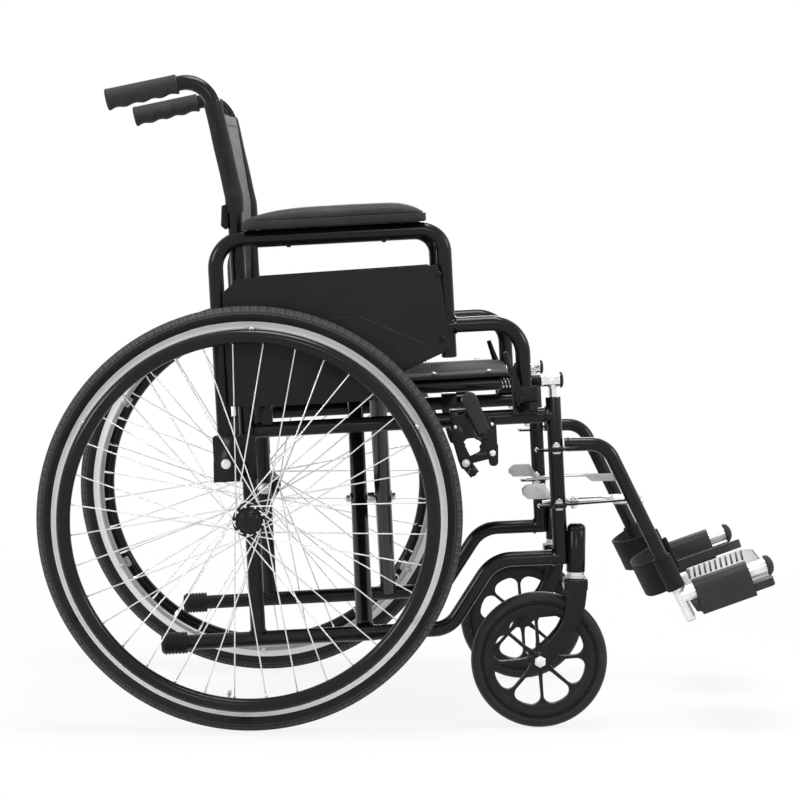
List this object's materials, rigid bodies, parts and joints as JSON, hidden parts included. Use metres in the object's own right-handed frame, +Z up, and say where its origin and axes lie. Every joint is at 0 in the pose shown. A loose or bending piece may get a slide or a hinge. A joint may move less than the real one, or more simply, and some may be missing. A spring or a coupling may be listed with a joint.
{
  "type": "folding wheelchair",
  "caption": "Lightweight self-propelled folding wheelchair with cross brace, flip-back armrests, swing-away leg hangers and flip-up footplates.",
  "frame": {"origin": "on the floor under the middle of the whole chair", "axes": "+X forward towards the footplates, +Y to the chair's left, +Z up"},
  "size_m": [1.069, 0.6626, 0.9411],
  "materials": {
    "right_side_frame": "gloss black",
    "right_tipping_cap": "moulded black",
    "right_hand_grip": "ribbed black",
    "right_rear_axle": "zinc plated",
    "right_arm_socket": "moulded black",
    "right_brake_bracket": "gloss black",
    "back_sling": "coated woven black",
    "brace_a": "gloss black",
    "brace_bolt": "zinc plated",
    "seat_sling": "coated woven black",
    "brace_b": "gloss black",
    "left_side_frame": "gloss black",
    "left_tipping_cap": "moulded black",
    "left_hand_grip": "ribbed black",
    "left_rear_axle": "zinc plated",
    "left_arm_socket": "moulded black",
    "left_brake_bracket": "gloss black",
    "right_seat_rail_guide": "bright plated",
    "right_seat_rail_spring": "bright wire",
    "right_rear_tyre": "solid black tread",
    "right_rear_rim": "satin",
    "right_rear_spokes": "bright spokes",
    "right_handrim": "coated black",
    "right_caster_fork": "gloss black",
    "right_caster_axle": "zinc plated",
    "right_caster_wheel": "moulded black",
    "right_caster_tyre": "smooth black",
    "right_armrest_frame": "gloss black",
    "right_armrest_pad": "grained black vinyl",
    "right_side_panel": "moulded black",
    "right_arm_release_lever": "gloss black",
    "right_hanger": "gloss black",
    "right_footrest_post": "bright plated",
    "right_heel_loop": "woven black",
    "right_hanger_release_lever": "zinc plated",
    "right_footplate": "moulded dark grey",
    "right_brake_lever": "moulded dark grey",
    "right_brake_shoe": "gloss black",
    "left_seat_rail_guide": "bright plated",
    "left_seat_rail_spring": "bright wire",
    "left_rear_tyre": "solid black tread",
    "left_rear_rim": "satin",
    "left_rear_spokes": "bright spokes",
    "left_handrim": "coated black",
    "left_caster_fork": "gloss black",
    "left_caster_axle": "zinc plated",
    "left_caster_wheel": "moulded black",
    "left_caster_tyre": "smooth black",
    "left_armrest_frame": "gloss black",
    "left_armrest_pad": "grained black vinyl",
    "left_side_panel": "moulded black",
    "left_arm_release_lever": "gloss black",
    "left_hanger": "gloss black",
    "left_footrest_post": "bright plated",
    "left_heel_loop": "woven black",
    "left_hanger_release_lever": "zinc plated",
    "left_footplate": "moulded dark grey",
    "left_brake_lever": "moulded dark grey",
    "left_brake_shoe": "gloss black"
  },
  "bodies": {
    "right_frame": {"right_side_frame": "right_side_frame", "right_tipping_cap": "right_tipping_cap", "right_hand_grip": "right_hand_grip", "right_rear_axle": "right_rear_axle", "right_arm_socket": "right_arm_socket", "right_brake_bracket": "right_brake_bracket", "back_sling": "back_sling"},
    "brace_a": {"brace_a": "brace_a", "brace_bolt": "brace_bolt", "seat_sling": "seat_sling"},
    "brace_b": {"brace_b": "brace_b"},
    "left_frame": {"left_side_frame": "left_side_frame", "left_tipping_cap": "left_tipping_cap", "left_hand_grip": "left_hand_grip", "left_rear_axle": "left_rear_axle", "left_arm_socket": "left_arm_socket", "left_brake_bracket": "left_brake_bracket"},
    "right_guide": {"right_seat_rail_guide": "right_seat_rail_guide", "right_seat_rail_spring": "right_seat_rail_spring"},
    "right_wheel": {"right_rear_tyre": "right_rear_tyre", "right_rear_rim": "right_rear_rim", "right_rear_spokes": "right_rear_spokes", "right_handrim": "right_handrim"},
    "right_caster": {"right_caster_fork": "right_caster_fork", "right_caster_axle": "right_caster_axle"},
    "right_caster_roller": {"right_caster_wheel": "right_caster_wheel", "right_caster_tyre": "right_caster_tyre"},
    "right_armrest": {"right_armrest_frame": "right_armrest_frame", "right_armrest_pad": "right_armrest_pad", "right_side_panel": "right_side_panel"},
    "right_arm_lever": {"right_arm_release_lever": "right_arm_release_lever"},
    "right_leg_hanger": {"right_hanger": "right_hanger", "right_footrest_post": "right_footrest_post", "right_heel_loop": "right_heel_loop"},
    "right_hanger_latch": {"right_hanger_release_lever": "right_hanger_release_lever"},
    "right_foot": {"right_footplate": "right_footplate"},
    "right_lock_lever": {"right_brake_lever": "right_brake_lever"},
    "right_lock_shoe": {"right_brake_shoe": "right_brake_shoe"},
    "left_guide": {"left_seat_rail_guide": "left_seat_rail_guide", "left_seat_rail_spring": "left_seat_rail_spring"},
    "left_wheel": {"left_rear_tyre": "left_rear_tyre", "left_rear_rim": "left_rear_rim", "left_rear_spokes": "left_rear_spokes", "left_handrim": "left_handrim"},
    "left_caster": {"left_caster_fork": "left_caster_fork", "left_caster_axle": "left_caster_axle"},
    "left_caster_roller": {"left_caster_wheel": "left_caster_wheel", "left_caster_tyre": "left_caster_tyre"},
    "left_armrest": {"left_armrest_frame": "left_armrest_frame", "left_armrest_pad": "left_armrest_pad", "left_side_panel": "left_side_panel"},
    "left_arm_lever": {"left_arm_release_lever": "left_arm_release_lever"},
    "left_leg_hanger": {"left_hanger": "left_hanger", "left_footrest_post": "left_footrest_post", "left_heel_loop": "left_heel_loop"},
    "left_hanger_latch": {"left_hanger_release_lever": "left_hanger_release_lever"},
    "left_foot": {"left_footplate": "left_footplate"},
    "left_lock_lever": {"left_brake_lever": "left_brake_lever"},
    "left_lock_shoe": {"left_brake_shoe": "left_brake_shoe"}
  },
  "joints": [
    {"name": "fold", "type": "hinge", "parent": "right_frame", "child": "brace_a", "pos_m": [-0.06285, -0.2275, 0.13467], "axis": [0.9978, 0, 0.0663], "range_deg": [0, 36], "deforming": ["seat_sling", "back_sling", "right_heel_loop", "left_heel_loop"]},
    {"name": "brace_cross", "type": "hinge", "parent": "brace_a", "child": "brace_b", "pos_m": [-0.05961, 0, 0.31228], "axis": [0.9978, 0, 0.0663], "range_deg": [-73, 1]},
    {"name": "left_frame_foot", "type": "hinge", "parent": "brace_b", "child": "left_frame", "pos_m": [-0.02593, 0.2275, 0.13712], "axis": [0.9978, 0, 0.0663], "range_deg": [-1, 37]},
    {"name": "right_guide_turn", "type": "hinge", "parent": "brace_b", "child": "right_guide", "pos_m": [0.15816, -0.2275, 0.50413], "axis": [0.9978, 0, 0.0663], "range_deg": [-1, 37]},
    {"name": "left_guide_turn", "type": "hinge", "parent": "brace_a", "child": "left_guide", "pos_m": [0.15816, 0.2275, 0.50413], "axis": [0.9978, 0, 0.0663], "range_deg": [-37, 1]},
    {"name": "right_wheel_spin", "type": "hinge", "parent": "right_frame", "child": "right_wheel", "pos_m": [-0.2295, -0.2895, 0.305], "axis": [0, 1, 0], "continuous": true},
    {"name": "right_caster_swivel", "type": "hinge", "parent": "right_frame", "child": "right_caster", "pos_m": [0.243, -0.2275, 0.2285], "axis": [0, 0, 1], "continuous": true},
    {"name": "right_caster_spin", "type": "hinge", "parent": "right_caster", "child": "right_caster_roller", "pos_m": [0.192, -0.2275, 0.0995], "axis": [0, 1, 0], "continuous": true},
    {"name": "right_armrest_flip", "type": "hinge", "parent": "right_frame", "child": "right_armrest", "pos_m": [-0.26567, -0.253, 0.38177], "axis": [0, -1, 0], "range_deg": [0, 95]},
    {"name": "right_arm_release", "type": "hinge", "parent": "right_frame", "child": "right_arm_lever", "pos_m": [0.15762, -0.2675, 0.48205], "axis": [0, -1, 0], "range_deg": [0, 12]},
    {"name": "right_hanger_swing", "type": "hinge", "parent": "right_frame", "child": "right_leg_hanger", "pos_m": [0.21426, -0.2495, 0.35352], "axis": [0.0663, 0, -0.9978], "range_deg": [0, 90]},
    {"name": "right_hanger_release", "type": "hinge", "parent": "right_leg_hanger", "child": "right_hanger_latch", "pos_m": [0.2378, -0.2345, 0.33113], "axis": [0.0663, 0, -0.9978], "range_deg": [0, 8]},
    {"name": "right_footplate_flip", "type": "hinge", "parent": "right_leg_hanger", "child": "right_foot", "pos_m": [0.3963, -0.2275, 0.1949], "axis": [0.9373, 0, 0.3487], "range_deg": [-1, 91]},
    {"name": "right_wheel_lock", "type": "hinge", "parent": "right_frame", "child": "right_lock_lever", "pos_m": [0.11723, -0.2723, 0.4035], "axis": [0, 1, 0], "range_deg": [0, 60]},
    {"name": "right_lock_shoe_turn", "type": "hinge", "parent": "right_frame", "child": "right_lock_shoe", "pos_m": [0.07906, -0.2723, 0.38833], "axis": [0, 1, 0], "range_deg": [-1, 61]},
    {"name": "left_wheel_spin", "type": "hinge", "parent": "left_frame", "child": "left_wheel", "pos_m": [-0.2295, 0.2895, 0.305], "axis": [0, 1, 0], "continuous": true},
    {"name": "left_caster_swivel", "type": "hinge", "parent": "left_frame", "child": "left_caster", "pos_m": [0.243, 0.2275, 0.2285], "axis": [0, 0, 1], "continuous": true},
    {"name": "left_caster_spin", "type": "hinge", "parent": "left_caster", "child": "left_caster_roller", "pos_m": [0.192, 0.2275, 0.0995], "axis": [0, 1, 0], "continuous": true},
    {"name": "left_armrest_flip", "type": "hinge", "parent": "left_frame", "child": "left_armrest", "pos_m": [-0.26567, 0.253, 0.38177], "axis": [0, -1, 0], "range_deg": [0, 95]},
    {"name": "left_arm_release", "type": "hinge", "parent": "left_frame", "child": "left_arm_lever", "pos_m": [0.15762, 0.2675, 0.48205], "axis": [0, -1, 0], "range_deg": [0, 12]},
    {"name": "left_hanger_swing", "type": "hinge", "parent": "left_frame", "child": "left_leg_hanger", "pos_m": [0.21426, 0.2495, 0.35352], "axis": [-0.0663, 0, 0.9978], "range_deg": [0, 90]},
    {"name": "left_hanger_release", "type": "hinge", "parent": "left_leg_hanger", "child": "left_hanger_latch", "pos_m": [0.2378, 0.2345, 0.33113], "axis": [-0.0663, 0, 0.9978], "range_deg": [0, 8]},
    {"name": "left_footplate_flip", "type": "hinge", "parent": "left_leg_hanger", "child": "left_foot", "pos_m": [0.3963, 0.2275, 0.1949], "axis": [0.9373, 0, 0.3487], "range_deg": [-91, 1]},
    {"name": "left_wheel_lock", "type": "hinge", "parent": "left_frame", "child": "left_lock_lever", "pos_m": [0.11723, 0.2723, 0.4035], "axis": [0, 1, 0], "range_deg": [0, 60]},
    {"name": "left_lock_shoe_turn", "type": "hinge", "parent": "left_frame", "child": "left_lock_shoe", "pos_m": [0.07906, 0.2723, 0.38833], "axis": [0, 1, 0], "range_deg": [-1, 61]}
  ],
  "couplings": [
    {"joint": "brace_cross", "follows": "fold", "ratio": -2},
    {"joint": "left_frame_foot", "follows": "fold", "ratio": 1},
    {"joint": "right_guide_turn", "follows": "fold", "ratio": 1},
    {"joint": "left_guide_turn", "follows": "fold", "ratio": -1},
    {"joint": "right_footplate_flip", "follows": "fold", "ratio": 2.5},
    {"joint": "right_lock_shoe_turn", "follows": "right_wheel_lock", "ratio": 1},
    {"joint": "left_footplate_flip", "follows": "fold", "ratio": -2.5},
    {"joint": "left_lock_shoe_turn", "follows": "left_wheel_lock", "ratio": 1}
  ]
}
